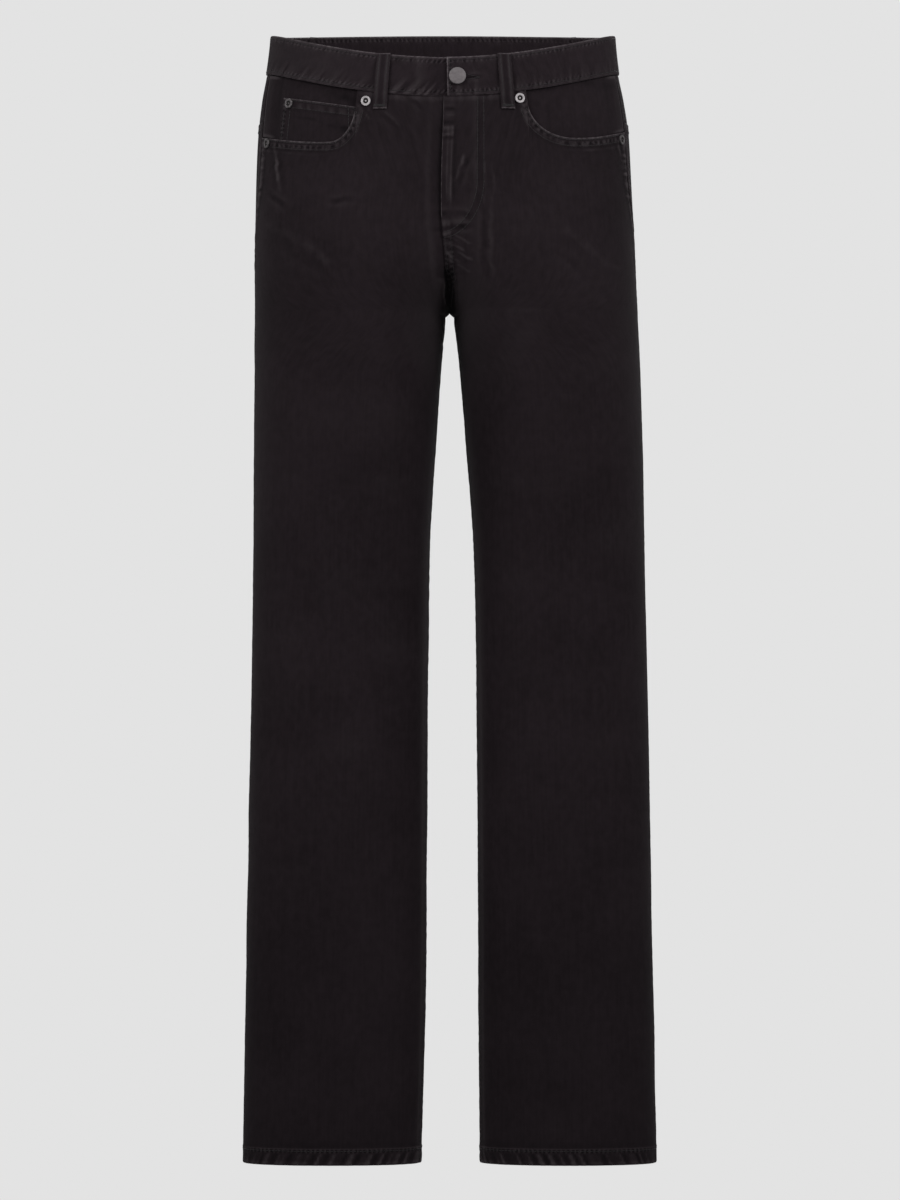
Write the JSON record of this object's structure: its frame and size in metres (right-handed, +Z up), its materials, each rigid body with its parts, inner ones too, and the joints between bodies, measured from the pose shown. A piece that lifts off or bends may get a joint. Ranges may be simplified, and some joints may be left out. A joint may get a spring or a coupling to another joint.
{
  "type": "straight leg jeans",
  "caption": "Straight leg jeans filled out as worn, hollow and open at waist and hems, with fly, pockets, yokes and belt loops.",
  "frame": {"origin": "middle of the waist opening, half way down the waistband", "axes": "+Z up towards the waist, front faces -Y, +X towards the wearer's left leg"},
  "size_m": [0.4135, 0.2334, 1.1367],
  "materials": {
    "denim": "washed black twill",
    "denim_seam": "washed black twill, several layers sewn together",
    "pewter": "matt antique pewter",
    "nickel": "worn bright nickel"
  },
  "bodies": {
    "root": {"front_left": "denim", "front_right": "denim", "back_left": "denim", "back_right": "denim", "yoke_left": "denim", "yoke_right": "denim", "pocket_facing_left": "denim", "pocket_facing_right": "denim", "coin_pocket": "denim", "fly_shield": "denim", "back_pocket_left": "denim", "back_pocket_right": "denim", "waistband": "denim_seam", "belt_loop_front_left": "denim_seam", "belt_loop_front_right": "denim_seam", "belt_loop_back_left": "denim_seam", "belt_loop_back_right": "denim_seam", "belt_loop_back_centre": "denim_seam", "waist_button": "pewter", "rivet_inner_left": "nickel", "rivet_inner_right": "nickel", "rivet_outer_left": "nickel", "rivet_outer_right": "nickel", "rivet_coin": "nickel"}
  },
  "joints": []
}
